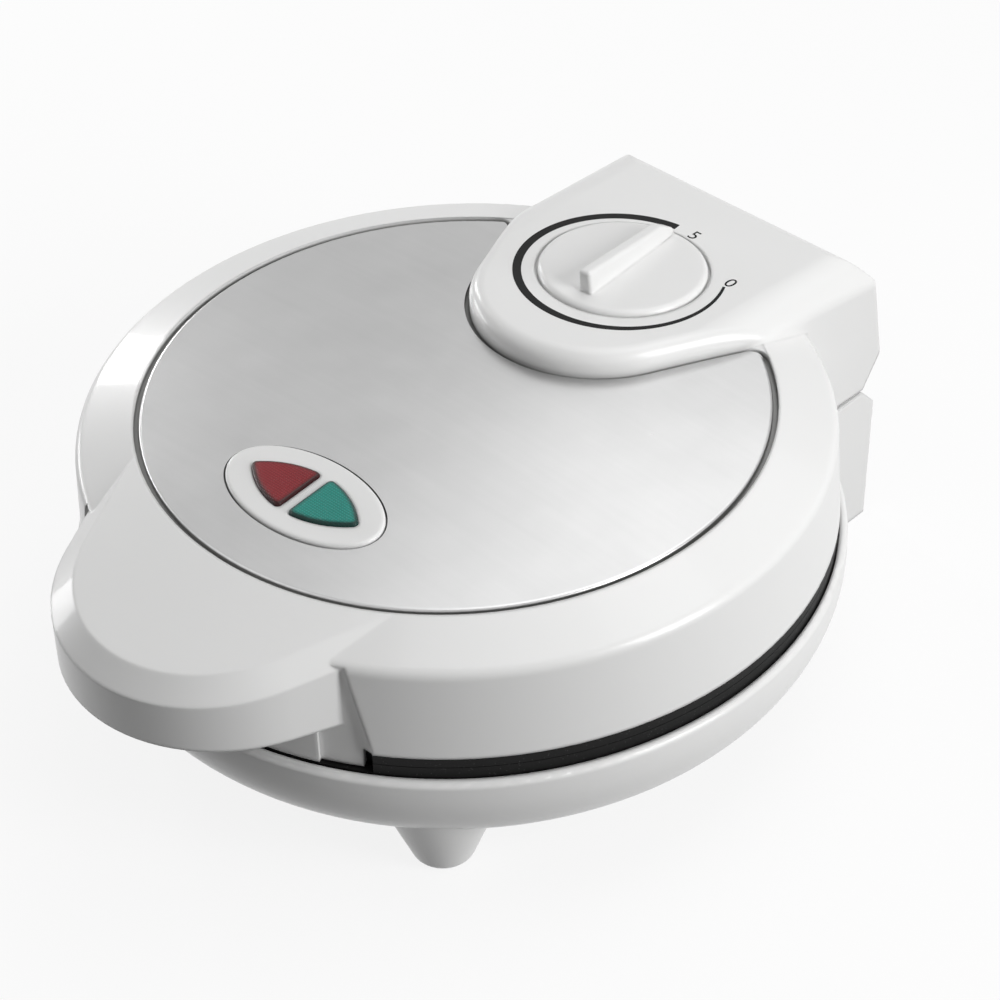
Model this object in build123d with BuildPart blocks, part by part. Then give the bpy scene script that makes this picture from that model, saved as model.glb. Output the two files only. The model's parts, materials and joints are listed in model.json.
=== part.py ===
from build123d import *
import math
import os

# Round countertop sandwich maker, in millimetres.
# +Z is up, +Y is towards the hinge, the handle points to -Y, Z = 0 is the table.
# The origin is on the table, under the middle of the whole outline.

os.makedirs("parts", exist_ok=True)

# Driving dimensions
AXIS_Y = 3.3            # the round body stands this far behind the origin
WALL = 2.5              # moulded casing wall

# Base bowl, its feet and its rear post
BOWL_R = 117.5
BOWL_TOP = 51.2
BOWL_BOTTOM = 17.0
BOWL_CORNER_R = 29.0
LIP_FILLET = 1.8
FOOT_R = 92.0           # distance of a front foot from the round axis
FOOT_ANGLE = 39.5       # either side of the front
FOOT_HEIGHT = 19.7
FOOT_TOP_R = 16.2
FOOT_TIP_R = 8.7
FOOT_TIP_FILLET = 3.9
POST_HALF = 53.0        # half width of the rear post and of the lid's hinge block
POST_TOP = 50.3
POST_FRONT = 104.0

# Hinge
PIVOT_Y = 128.9         # behind the round axis
PIVOT_Z = 60.0
PIN_R = 2.0
PIN_FIT = 0.05
LUG_R = 6.5
LUG_INNER = 40.0
LUG_OUTER = 46.0
PIN_INNER = 38.0
PIN_OUTER = 51.3

# Cooking plates
PLATE_R = 114.5
PLATE_MEET = 55.0
PLATE_GAP = 0.1         # each plate stops this far from the meeting plane
POCKET_R = 98.0
POCKET_MARGIN = 4.5
POCKET_DEPTH = 12.0
POCKET_CORNER = 7.0
PLATE_WALL = 3.0
RIM_HEIGHT = 3.4        # rim of the upper plate, seen under the lid's skirt

# Lid
SKIRT_R = 115.0
SKIRT_TOP_R = 113.7
SKIRT_BOTTOM = 58.7
RIDGE_Z = 89.0
RING_R = 95.8           # inner edge of the sloping ring round the steel cover
RING_Z = 95.5
RIDGE_FILLET = 3.5
COVER_R = 94.2
COVER_DOME = 4.0
COVER_SHEET = 0.6
COVER_ROLL = 1.0        # the edge is rolled over with this radius
COVER_CORNER = 4.0      # where the cut-out for the dial housing meets the edge
DECK_DROP = 1.9         # the moulded deck lies this far under the cover's edge
DECK_WALL = 2.2
GROOVE = 1.6            # open gap round the steel cover

# Dial housing: a tongue over the cover that grows into the hinge block
TONGUE_R = 38.5
TONGUE_Y = 61.8
TONGUE_FLANK = 23.6     # degrees that each flank leans away from the middle line
DIAL_TILT = 4.07        # the dial face falls this many degrees towards the hinge
DIAL_Y = 74.6
DIAL_Z = 103.4
BLOCK_WAIST = 51.0      # half width where the flanks meet the block
BLOCK_CREST_Y = 127.7   # the dial face ends here and turns down
BLOCK_REAR_Y = 134.5
BLOCK_REAR_Z = 90.5
BLOCK_FOOT_Y = 137.8
BLOCK_FOOT_Z = 63.8
BLOCK_BOTTOM = 51.5
SHOULDER_FILLET = 4.5
ROOF_HALF = 54.5        # the block's top rounds down to its sides from a roof this wide
ROOF_R = 16.0
REAR_FILLET = 2.0
CREST_R = 7.0

# Handle
HANDLE_R = 50.0
HANDLE_Y = -94.5        # centre of the handle's round end
HANDLE_FLANK = 23.7
HANDLE_BOTTOM = 67.2
HANDLE_SLOPE = 9.8      # the top falls away from the cover's edge like a cone
HANDLE_BEVEL_IN = 5.0
HANDLE_BEVEL_DOWN = 7.0
SKIRT_END_Y = -97.6     # the skirt stops here, beside the handle
APRON_ANGLE = 30.0
APRON_MID_ANGLE = 23.5
APRON_R = 113.0
APRON_MID_R = 114.5
APRON_BOTTOM = 52.0

# Knob
KNOB_R = 26.3
WELL_R = 27.2
WELL_DEPTH = 1.6
KNOB_RISE = 1.3         # heights are above the dial face
KNOB_SHOULDER = 1.8
POINTER_ANGLE = 97.0    # from +X, seen along the spindle
BAR_TAIL = 19.5         # the grip bar runs from here, behind the middle, to the tip
BAR_TIP = 24.3
BAR_CREST = 19.5        # its top slopes down evenly to here
BAR_HEIGHT = 10.3
BAR_TIP_HEIGHT = 5.2
BAR_WIDTH = 4.9
BAR_TOP_WIDTH = 4.1
SPINDLE_R = 3.0
SPINDLE_FLAT = 2.4      # its flattened end stands up inside the bar
FLAT_TOP = 4.2

# Lamps
LAMP_Y = -62.2
BEZEL_A = 28.9
BEZEL_B = 15.7
LENS_HALF = 22.2
LENS_RISE = 9.2
LENS_BAR = 3.4

# Screws
SCREW_CIRCLE = 84.0
SCREW_R = 1.9
SCREW_HEAD_R = 3.7

ROUND_AXIS = Axis((0, AXIS_Y, 0), (0, 0, 1))
RADIAL = Plane(origin=(0, AXIS_Y, 0), x_dir=(1, 0, 0), z_dir=(0, -1, 0))
SIDE = Plane(origin=(0, AXIS_Y, 0), x_dir=(0, 1, 0), z_dir=(1, 0, 0))


def level(z):
    """Horizontal plane at height z, centred on the round axis."""
    return Plane(origin=(0, AXIS_Y, z))


DOME_R = (COVER_R**2 + COVER_DOME**2) / (2 * COVER_DOME)


def dome_z(r, depth):
    """Height of the dome at distance r from the axis, depth under the cover's outer face."""
    return RING_Z + COVER_DOME - DOME_R + math.sqrt((DOME_R - depth) ** 2 - r**2)


def dial_z(y):
    """Height of the flat dial face at y behind the round axis."""
    return DIAL_Z - (y - DIAL_Y) * math.tan(math.radians(DIAL_TILT))


def polar(r, angle):
    """Point at distance r, angle degrees round from the front towards the right."""
    a = math.radians(angle)
    return (r * math.sin(a), -r * math.cos(a))


def dial_plane(depth):
    """Plane parallel to the dial face, depth above it, centred on the knob."""
    tilt = math.radians(DIAL_TILT)
    normal = (0, math.sin(tilt), math.cos(tilt))
    origin = (0, AXIS_Y + DIAL_Y + depth * normal[1], DIAL_Z + depth * normal[2])
    return Plane(origin=origin, x_dir=(1, 0, 0), z_dir=normal)


# Looks along the dial face from behind, with its middle at the knob
ALONG_DIAL = Plane(origin=dial_plane(0).origin, x_dir=(1, 0, 0), z_dir=-dial_plane(0).y_dir)


def lamp_plane(depth):
    """Plane that lies on the domed cover at the lamps, depth above it."""
    lean = math.asin(-LAMP_Y / DOME_R)
    normal = (0, -math.sin(lean), math.cos(lean))
    origin = (0, AXIS_Y + LAMP_Y + depth * normal[1], dome_z(LAMP_Y, 0) + depth * normal[2])
    return Plane(origin=origin, x_dir=(1, 0, 0), z_dir=normal)


def tongue_outline(grow, rounding):
    """Round-nosed outline of the dial housing and hinge block, grown by grow."""
    lean = math.radians(TONGUE_FLANK)
    radius = TONGUE_R + grow
    waist = BLOCK_WAIST + grow
    touch = (radius * math.cos(lean), TONGUE_Y - radius * math.sin(lean))
    corner_y = touch[1] + (waist - touch[0]) / math.tan(lean)
    rear = BLOCK_FOOT_Y + 10
    half = waist + (POST_HALF - BLOCK_WAIST) * (rear - corner_y) / (BLOCK_FOOT_Y - corner_y)
    with BuildSketch() as outline:
        with BuildLine():
            RadiusArc((-touch[0], touch[1]), touch, -radius)
            Polyline(
                touch, (waist, corner_y), (half, rear),
                (-half, rear), (-waist, corner_y), (-touch[0], touch[1]),
            )
        make_face()
        fillet(outline.vertices().filter_by(lambda v: abs(v.Y - corner_y) < 0.1), rounding)
    return outline.sketch


def cover_outline(radius, grow, rounding):
    """Disc with the dial housing's outline, grown by grow, cut out and the two corners rounded."""
    with BuildSketch() as outline:
        Circle(radius)
        add(tongue_outline(grow, 1), mode=Mode.SUBTRACT)
        fillet(outline.vertices().sort_by(Axis.Y)[-2:], rounding)
    return outline.sketch


def housing_profile(inset):
    """Side view of the dial housing and hinge block, inset by inset."""
    foot_y = BLOCK_FOOT_Y if inset else PIVOT_Y
    bottom = BLOCK_BOTTOM - inset * 5
    crest = (BLOCK_CREST_Y, dial_z(BLOCK_CREST_Y))
    with BuildSketch() as profile:
        with BuildLine():
            line = Polyline(
                (10, bottom), (10, dial_z(10)), crest, (BLOCK_REAR_Y, BLOCK_REAR_Z),
                (BLOCK_FOOT_Y, BLOCK_FOOT_Z), (foot_y, bottom), close=True,
            )
            fillet(line.vertices().sort_by_distance(crest)[0], CREST_R)
        make_face()
        if inset:
            offset(amount=-inset, kind=Kind.INTERSECTION)
    return profile.sketch


def block_roof(inset):
    """End view of the hinge block's rounded top, seen along the dial face, inset by inset."""
    half = ROOF_HALF - inset
    with BuildSketch() as roof:
        with BuildLine():
            line = Polyline((-half, -inset), (half, -inset), (half, -60), (-half, -60), close=True)
            for corner in ((-half, -inset), (half, -inset)):
                fillet(line.vertices().sort_by_distance(corner)[0], ROOF_R - inset)
        make_face()
    return roof.sketch


def handle_outline(grow):
    """Round-ended outline of the handle, running back under the cover."""
    lean = math.radians(HANDLE_FLANK)
    radius = HANDLE_R + grow
    touch = (radius * math.cos(lean), HANDLE_Y - radius * math.sin(lean))
    root_y = -60.0
    root = (touch[0] + (root_y - touch[1]) * math.tan(lean), root_y)
    with BuildSketch() as outline:
        with BuildLine():
            RadiusArc((-touch[0], touch[1]), touch, -radius)
            Polyline(touch, root, (-root[0], root[1]), (-touch[0], touch[1]))
        make_face()
    return outline.sketch


def handle_solid(inset, inner_r):
    """Bevelled block of the handle outside inner_r, inset by inset and lowered by twice that."""
    fall = math.tan(math.radians(HANDLE_SLOPE))
    bottom = HANDLE_BOTTOM - inset * 2
    near_z = RING_Z - inset - (inner_r - RING_R) * fall
    far_z = RING_Z - inset - (170 - RING_R) * fall
    with BuildPart() as block:
        with BuildSketch(level(bottom)):
            add(handle_outline(-inset))
        extrude(amount=45)
        with BuildSketch(RADIAL):
            with BuildLine():
                Polyline((inner_r, bottom), (inner_r, near_z), (170, far_z), (170, bottom), close=True)
            make_face()
        revolve(axis=ROUND_AXIS, mode=Mode.INTERSECT)
        crown = block.faces().filter_by(GeomType.CONE)[0]
        rim = crown.edges().filter_by(lambda e: math.hypot(e.center().X, e.center().Y - AXIS_Y) > inner_r + 2)
        chamfer(rim, HANDLE_BEVEL_DOWN, HANDLE_BEVEL_IN, reference=crown)
    return block.part


def lens_outline(side, shrink):
    """Half of a pointed oval, left or right of the bar between the lenses."""
    radius = (LENS_HALF**2 + LENS_RISE**2) / (2 * LENS_RISE) - shrink
    offset_y = radius + shrink - LENS_RISE
    with BuildSketch() as outline:
        with Locations((0, -offset_y)):
            Circle(radius)
        with Locations((0, offset_y)):
            Circle(radius, mode=Mode.INTERSECT)
        with Locations((-side * 50 + side * (LENS_BAR / 2 + shrink), 0)):
            Rectangle(100, 100, mode=Mode.SUBTRACT)
        fillet(outline.vertices(), 1.6 - shrink * 0.5)
    return outline.sketch


def screws(planes, length, head_height):
    """Pan-head screws whose heads sit on the given planes and point away from them."""
    with BuildPart() as group:
        for plane in planes:
            with BuildSketch(plane):
                Circle(SCREW_HEAD_R)
            extrude(amount=head_height)
            with BuildSketch(plane):
                Circle(SCREW_R)
            extrude(amount=-length)
            with BuildSketch(plane.offset(head_height)):
                Rectangle(4.4, 1.0)
                Rectangle(1.0, 4.4)
            extrude(amount=-head_height * 0.55, mode=Mode.SUBTRACT)
    return group.part


def write(part, name):
    part.label = name
    export_step(part, f"parts/{name}.step")


# Base shell: bowl, front feet, rear post, hinge lugs
REAR_PROFILE = [
    (POST_FRONT, 0), (132.1, 0), (133.4, 1.3),
    (135.9, 42.4), (PIVOT_Y, POST_TOP), (POST_FRONT, POST_TOP),
]
POST_TOP_Z = 31.5
LOWER_POSTS = [polar(SCREW_CIRCLE, angle) for angle in (0, 90, 180, 270)]
FEET = [polar(FOOT_R, FOOT_ANGLE), polar(FOOT_R, -FOOT_ANGLE)]
CORD_Z = 24.0
CORD_HOLE_R = 5.6
LEDGE_Z = 47.0

with BuildPart() as base_shell:
    with BuildSketch(RADIAL):
        with BuildLine():
            Line((0, BOWL_BOTTOM), (BOWL_R - BOWL_CORNER_R, BOWL_BOTTOM))
            corner = (BOWL_R, BOWL_BOTTOM + BOWL_CORNER_R)
            RadiusArc((BOWL_R - BOWL_CORNER_R, BOWL_BOTTOM), corner, -BOWL_CORNER_R)
            Polyline(corner, (BOWL_R, BOWL_TOP), (0, BOWL_TOP), (0, BOWL_BOTTOM))
        make_face()
    revolve(axis=ROUND_AXIS)
    fillet(base_shell.edges().group_by(Axis.Z)[-1], LIP_FILLET)
    for foot in FEET:
        with BuildSketch(Plane(origin=(foot[0], AXIS_Y + foot[1], 0), x_dir=(1, 0, 0), z_dir=(0, -1, 0))):
            with BuildLine():
                foot_side = [(0, 0), (FOOT_TIP_R, 0), (FOOT_TOP_R, FOOT_HEIGHT), (0, FOOT_HEIGHT), (0, 0)]
                foot_line = Polyline(*foot_side)
                fillet(foot_line.vertices().sort_by_distance((FOOT_TIP_R, 0))[0], FOOT_TIP_FILLET)
            make_face()
        revolve(axis=Axis((foot[0], AXIS_Y + foot[1], 0), (0, 0, 1)))
    with BuildPart(mode=Mode.PRIVATE) as rear_post:
        with BuildSketch(SIDE):
            with BuildLine():
                Polyline(*REAR_PROFILE, close=True)
            make_face()
        extrude(amount=POST_HALF, both=True)
        outer = rear_post.edges().filter_by(lambda e: abs(e.center().X) > POST_HALF - 1 and e.length > 30)
        fillet(outer.filter_by(lambda e: e.center().Y > AXIS_Y + 134), 2.5)
    add(rear_post.part)
    # the hollow of the bowl
    with BuildSketch(RADIAL):
        with BuildLine():
            Line((0, BOWL_BOTTOM + WALL), (BOWL_R - BOWL_CORNER_R, BOWL_BOTTOM + WALL))
            corner = (BOWL_R - WALL, BOWL_BOTTOM + BOWL_CORNER_R)
            RadiusArc((BOWL_R - BOWL_CORNER_R, BOWL_BOTTOM + WALL), corner, WALL - BOWL_CORNER_R)
            Polyline(corner, (BOWL_R - WALL, BOWL_TOP + 1), (0, BOWL_TOP + 1), (0, BOWL_BOTTOM + WALL))
        make_face()
    revolve(axis=ROUND_AXIS, mode=Mode.SUBTRACT)
    # the hollow of the rear post
    with BuildSketch(SIDE):
        with BuildLine():
            Polyline(
                (POST_FRONT + WALL, WALL), (130.8, WALL), (133.2, 41.4),
                (127.6, POST_TOP - WALL), (POST_FRONT + WALL, POST_TOP - WALL), close=True,
            )
        make_face()
    extrude(amount=POST_HALF - WALL, both=True, mode=Mode.SUBTRACT)
    # the hollows of the feet
    for foot in FEET:
        with BuildSketch(Plane(origin=(foot[0], AXIS_Y + foot[1], 0), x_dir=(1, 0, 0), z_dir=(0, -1, 0))):
            with BuildLine():
                inner_top = FOOT_HEIGHT + 2
                Polyline((0, 3), (FOOT_TIP_R - 3.2, 3), (FOOT_TOP_R - 2.8, inner_top), (0, inner_top), (0, 3))
            make_face()
        revolve(axis=Axis((foot[0], AXIS_Y + foot[1], 0), (0, 0, 1)), mode=Mode.SUBTRACT)
    # the ledge that carries the lower plate's rim
    with BuildSketch(RADIAL):
        with BuildLine():
            wall_r = BOWL_R - WALL
            ledge_r = wall_r - 3
            Polyline(
                (wall_r, LEDGE_Z), (ledge_r, LEDGE_Z), (ledge_r, LEDGE_Z - 1.5),
                (wall_r, LEDGE_Z - 6), close=True,
            )
        make_face()
    revolve(axis=ROUND_AXIS)
    # screw posts, with the screw heads sunk in from below
    with BuildSketch(level(BOWL_BOTTOM)):
        with Locations(*LOWER_POSTS):
            Circle(6.5)
    extrude(amount=POST_TOP_Z - BOWL_BOTTOM)
    with BuildSketch(level(BOWL_BOTTOM)):
        with Locations(*LOWER_POSTS):
            Circle(4.4)
    extrude(amount=9, mode=Mode.SUBTRACT)
    with BuildSketch(level(BOWL_BOTTOM)):
        with Locations(*LOWER_POSTS):
            Circle(SCREW_R + 0.3)
    extrude(amount=POST_TOP_Z - BOWL_BOTTOM + 1, mode=Mode.SUBTRACT)
    # hinge lugs
    for side in (-1, 1):
        lug_plane = Plane(origin=(side * LUG_INNER, AXIS_Y, 0), x_dir=(0, 1, 0), z_dir=(1, 0, 0))
        with BuildSketch(lug_plane):
            with BuildLine():
                Polyline(
                    (117, POST_TOP - 4), (129.0, POST_TOP - 4),
                    (PIVOT_Y + LUG_R, PIVOT_Z), (PIVOT_Y - LUG_R, PIVOT_Z), close=True,
                )
            make_face()
            with Locations((PIVOT_Y, PIVOT_Z)):
                Circle(LUG_R)
                Circle(PIN_R + 0.02, mode=Mode.SUBTRACT)
        extrude(amount=side * (LUG_OUTER - LUG_INNER))
    # posts for the cord clamp
    with BuildSketch(level(WALL)):
        with Locations((-10, 124), (10, 124)):
            Circle(3.5)
            Circle(1.3, mode=Mode.SUBTRACT)
    extrude(amount=16.5)
    # cord entry
    with BuildSketch(Plane(origin=(0, AXIS_Y + 140, CORD_Z), x_dir=(-1, 0, 0), z_dir=(0, 1, 0))):
        Circle(CORD_HOLE_R)
    extrude(amount=-14, mode=Mode.SUBTRACT)
write(base_shell.part, "base_shell")


# Lid shell: skirt, sloping ring, deck, dial housing, hinge block, handle, apron
DECK_Z = RING_Z - DECK_DROP
LID_WALL = 2.6
LID_POST_Z = 78.5
LID_HEAD_Z = 87.0
UPPER_POSTS = [polar(SCREW_CIRCLE, angle) for angle in (48, 132, 228, 312)]

with BuildPart() as lid_shell:
    with BuildSketch(RADIAL):
        with BuildLine():
            deck_edge = (RING_R, dome_z(RING_R, DECK_DROP))
            deck_middle = (0, dome_z(0, DECK_DROP))
            rim = Polyline(
                (0, SKIRT_BOTTOM), (SKIRT_R, SKIRT_BOTTOM), (SKIRT_TOP_R, RIDGE_Z), (RING_R, RING_Z), deck_edge
            )
            RadiusArc(deck_edge, deck_middle, DECK_DROP - DOME_R)
            Line(deck_middle, (0, SKIRT_BOTTOM))
            fillet(rim.vertices().sort_by_distance((SKIRT_TOP_R, RIDGE_Z))[0], RIDGE_FILLET)
        make_face()
    revolve(axis=ROUND_AXIS)
    # the front of the skirt steps back beside the handle
    with BuildPart(mode=Mode.PRIVATE) as front_step:
        with BuildSketch(Plane(origin=(0, AXIS_Y + SKIRT_END_Y, 0), x_dir=(1, 0, 0), z_dir=(0, -1, 0))):
            with BuildLine():
                Polyline((-61.5, 53), (61.5, 53), (53.5, RIDGE_Z), (-53.5, RIDGE_Z), close=True)
            make_face()
        extrude(amount=30)
        with BuildSketch(level(0)):
            Circle(APRON_R)
        extrude(amount=100, mode=Mode.SUBTRACT)
    add(front_step.part, mode=Mode.SUBTRACT)
    # handle: its top falls away from the cover like a cone
    add(handle_solid(0, RING_R + 0.6))
    # dial housing and hinge block
    with BuildPart(mode=Mode.PRIVATE) as housing:
        with BuildSketch(level(BLOCK_BOTTOM)):
            add(tongue_outline(0, 14))
        extrude(amount=70)
        with BuildSketch(ALONG_DIAL):
            add(block_roof(0))
        extrude(amount=100, both=True, mode=Mode.INTERSECT)
        top = housing.edges().filter_by(lambda e: e.center().Z > 80 and abs(e.tangent_at(0.5).Z) < 0.8)
        inner = ROOF_HALF - ROOF_R + 0.5
        rim = top.filter_by(lambda e: abs(e.center().X) > inner or e.center().Y < AXIS_Y + 70)
        fillet(rim.filter_by(lambda e: e.center().Y < AXIS_Y + BLOCK_FOOT_Y), SHOULDER_FILLET)
        with BuildSketch(SIDE):
            add(housing_profile(0))
        extrude(amount=80, both=True, mode=Mode.INTERSECT)
        sides = housing.edges().filter_by(lambda e: abs(e.center().X) > POST_HALF - 1 and e.length > 20)
        fillet(sides.filter_by(lambda e: e.center().Y > AXIS_Y + PIVOT_Y and e.center().Z > PIVOT_Z), REAR_FILLET)
    add(housing.part)
    # rounded corners where the ring's inner edge meets the housing
    with BuildPart(mode=Mode.PRIVATE) as corners:
        with BuildSketch(level(DECK_Z - 1)):
            with Locations((-BLOCK_WAIST, 80), (BLOCK_WAIST, 80)):
                Rectangle(16, 20)
            Circle(RING_R + 0.3, mode=Mode.INTERSECT)
            add(cover_outline(RING_R, 0, COVER_CORNER + GROOVE), mode=Mode.SUBTRACT)
        extrude(amount=RING_Z - DECK_Z + 0.85)
    add(corners.part)
    # the hollow behind the dial, left open between the hinge cheeks
    with BuildPart(mode=Mode.PRIVATE) as housing_hollow:
        with BuildSketch(level(BLOCK_BOTTOM - 20)):
            add(tongue_outline(-LID_WALL, 12))
        extrude(amount=90)
        with BuildSketch(ALONG_DIAL):
            add(block_roof(LID_WALL))
        extrude(amount=100, both=True, mode=Mode.INTERSECT)
        with BuildSketch(SIDE):
            add(housing_profile(LID_WALL))
        extrude(amount=80, both=True, mode=Mode.INTERSECT)
    add(housing_hollow.part, mode=Mode.SUBTRACT)
    # the skirt goes on inside the hinge block, with a hole for the wires
    with BuildPart(mode=Mode.PRIVATE) as inner_skirt:
        with BuildSketch(RADIAL):
            with BuildLine():
                Polyline(
                    (SKIRT_R - LID_WALL - 1, SKIRT_BOTTOM), (SKIRT_R, SKIRT_BOTTOM),
                    (SKIRT_TOP_R, RIDGE_Z), (SKIRT_TOP_R - LID_WALL - 1, RIDGE_Z), close=True,
                )
            make_face()
        revolve(axis=ROUND_AXIS)
        with BuildSketch(level(SKIRT_BOTTOM)):
            with Locations((0, SKIRT_R)):
                Rectangle(2 * POST_HALF - 2, 60)
        extrude(amount=40, mode=Mode.INTERSECT)
        with BuildSketch(Plane(origin=(0, AXIS_Y, 76), x_dir=(1, 0, 0), z_dir=(0, 1, 0))):
            Circle(5)
        extrude(amount=130, mode=Mode.SUBTRACT)
    add(inner_skirt.part)
    # the hollow of the round body
    with BuildSketch(RADIAL):
        with BuildLine():
            under = DECK_DROP + DECK_WALL
            under_edge = (RING_R - 1, dome_z(RING_R - 1, under))
            under_middle = (0, dome_z(0, under))
            inner_r = SKIRT_R - LID_WALL
            Polyline(
                (0, SKIRT_BOTTOM - 5), (inner_r, SKIRT_BOTTOM - 5), (inner_r, SKIRT_BOTTOM),
                (SKIRT_TOP_R - LID_WALL, RIDGE_Z - 2.2), (RING_R + 1, RING_Z - 3.2), under_edge,
            )
            RadiusArc(under_edge, under_middle, under - DOME_R)
            Line(under_middle, (0, SKIRT_BOTTOM - 5))
        make_face()
    revolve(axis=ROUND_AXIS, mode=Mode.SUBTRACT)
    # the block keeps clear of the plates' rims
    with BuildSketch(level(BLOCK_BOTTOM - 1)):
        Circle(SKIRT_R + 0.8)
    extrude(amount=SKIRT_BOTTOM - BLOCK_BOTTOM + 1, mode=Mode.SUBTRACT)
    # slots for the base's hinge lugs
    with BuildSketch(level(BLOCK_BOTTOM)):
        for side in (-1, 1):
            with Locations((side * (LUG_INNER + LUG_OUTER) / 2, PIVOT_Y + 6)):
                Rectangle(LUG_OUTER - LUG_INNER + 1, 18)
    extrude(amount=17, mode=Mode.SUBTRACT)
    # hinge bosses inside the cheeks
    for side in (-1, 1):
        boss_plane = Plane(origin=(side * (LUG_OUTER + 0.5), AXIS_Y, 0), x_dir=(0, 1, 0), z_dir=(1, 0, 0))
        with BuildSketch(boss_plane):
            with Locations((PIVOT_Y, PIVOT_Z)):
                Circle(5.0)
        extrude(amount=side * (POST_HALF - LUG_OUTER - 1.6))
        with BuildSketch(boss_plane):
            with Locations((PIVOT_Y, PIVOT_Z)):
                Circle(PIN_R + PIN_FIT)
        extrude(amount=side * (PIN_OUTER - LUG_OUTER - 0.4), mode=Mode.SUBTRACT)
    # apron under the handle: two side panels and a proud middle one
    for outer_r, angle in ((APRON_R, APRON_ANGLE), (APRON_MID_R, APRON_MID_ANGLE)):
        with BuildPart(mode=Mode.PRIVATE) as panel:
            with BuildSketch(level(APRON_BOTTOM)):
                Circle(outer_r)
                Circle(APRON_R - LID_WALL, mode=Mode.SUBTRACT)
                with BuildLine():
                    Polyline((0, 0), polar(200, -angle), polar(200, angle), close=True)
                make_face(mode=Mode.INTERSECT)
            extrude(amount=88 - APRON_BOTTOM)
        add(panel.part)
    # the hollow under the handle's canopy
    add(handle_solid(LID_WALL, APRON_MID_R), mode=Mode.SUBTRACT)
    # screw posts under the deck, with the heads sunk in from above
    for post in UPPER_POSTS:
        with BuildSketch(level(LID_POST_Z)):
            with Locations(post):
                Circle(6.5)
        extrude(amount=DECK_Z - LID_POST_Z)
        with BuildSketch(level(LID_POST_Z - 1)):
            with Locations(post):
                Circle(SCREW_R + 0.3)
        extrude(amount=20, mode=Mode.SUBTRACT)
        with BuildSketch(level(LID_HEAD_Z)):
            with Locations(post):
                Circle(4.4)
        extrude(amount=12, mode=Mode.SUBTRACT)
    # opening in the deck for the lamps
    with BuildSketch(lamp_plane(-8)):
        Ellipse(24.0, 11.0)
    extrude(amount=9, mode=Mode.SUBTRACT)
    # shallow well for the knob, on a thickened pad, with the spindle's hole
    with BuildSketch(dial_plane(-4.2)):
        Circle(WELL_R + 2.4)
    extrude(amount=3.2)
    with BuildSketch(dial_plane(-WELL_DEPTH)):
        Circle(WELL_R)
    extrude(amount=6, mode=Mode.SUBTRACT)
    with BuildSketch(dial_plane(-8)):
        Circle(SPINDLE_R + 1)
    extrude(amount=10, mode=Mode.SUBTRACT)
write(lid_shell.part, "lid_shell")


# Steel cover over the deck
with BuildPart() as lid_cover:
    with BuildSketch(RADIAL) as cover_profile:
        with BuildLine():
            lip_r = COVER_R - COVER_SHEET
            lip_z = dome_z(lip_r, DECK_DROP) + 0.02
            RadiusArc((COVER_R, RING_Z), (0, dome_z(0, 0)), -DOME_R)
            Line((0, dome_z(0, 0)), (0, dome_z(0, COVER_SHEET)))
            inner_rim = (lip_r, dome_z(lip_r, COVER_SHEET))
            RadiusArc((0, dome_z(0, COVER_SHEET)), inner_rim, DOME_R - COVER_SHEET)
            Polyline(inner_rim, (lip_r, lip_z), (COVER_R, lip_z), (COVER_R, RING_Z))
        make_face()
        fillet(cover_profile.vertices().sort_by_distance((COVER_R, RING_Z))[0], COVER_ROLL)
    revolve(axis=ROUND_AXIS)
    with BuildSketch(level(DECK_Z - 2)):
        add(cover_outline(COVER_R + 0.05, GROOVE, COVER_CORNER))
    extrude(amount=20, mode=Mode.INTERSECT)
    with BuildSketch(lamp_plane(-4)):
        Ellipse(BEZEL_A + 0.6, BEZEL_B + 0.6)
    extrude(amount=8, mode=Mode.SUBTRACT)
write(lid_cover.part, "lid_cover")


# Lamp bezel and its two lenses
with BuildPart() as lamp_bezel:
    with BuildSketch(lamp_plane(-DECK_DROP + 0.05)):
        Ellipse(BEZEL_A, BEZEL_B)
    extrude(amount=DECK_DROP + 0.55)
    fillet(lamp_bezel.faces().sort_by(Axis.Z)[-1].edges(), 0.8)
    with BuildSketch(lamp_plane(-4)):
        for side in (-1, 1):
            add(lens_outline(side, 0))
    extrude(amount=8, mode=Mode.SUBTRACT)
write(lamp_bezel.part, "lamp_bezel")

for side, name in ((-1, "red_lens"), (1, "green_lens")):
    with BuildPart() as lens:
        with BuildSketch(lamp_plane(-4.4)):
            add(lens_outline(side, 0.12))
        extrude(amount=6.0)
        fillet(lens.faces().sort_by(Axis.Z)[-1].edges(), 0.9)
        with BuildSketch(lamp_plane(-4.5)):
            add(lens_outline(side, 1.5))
        extrude(amount=4.4, mode=Mode.SUBTRACT)
    write(lens.part, name)

with BuildPart() as lamp_holder:
    with BuildSketch(lamp_plane(-14.5)):
        RectangleRounded(46, 20, 4)
    extrude(amount=9.6)
    with BuildSketch(lamp_plane(-13)):
        with Locations((-11.5, 0), (11.5, 0)):
            RectangleRounded(20, 16, 3)
    extrude(amount=9, mode=Mode.SUBTRACT)
write(lamp_holder.part, "lamp_holder")

for side, name in ((-1, "red_lamp"), (1, "green_lamp")):
    with BuildPart() as lamp:
        lamp_axis = lamp_plane(-9.5)
        bulb_foot = lamp_axis.from_local_coords((side * 11.5, -6.5, 0))
        bulb_plane = Plane(origin=bulb_foot, x_dir=lamp_axis.x_dir, z_dir=lamp_axis.y_dir)
        with BuildSketch(bulb_plane):
            Circle(2.9)
        extrude(amount=13)
        fillet(lamp.faces().sort_by(Axis.Y)[-1].edges(), 2.0)
    write(lamp.part, name)


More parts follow.
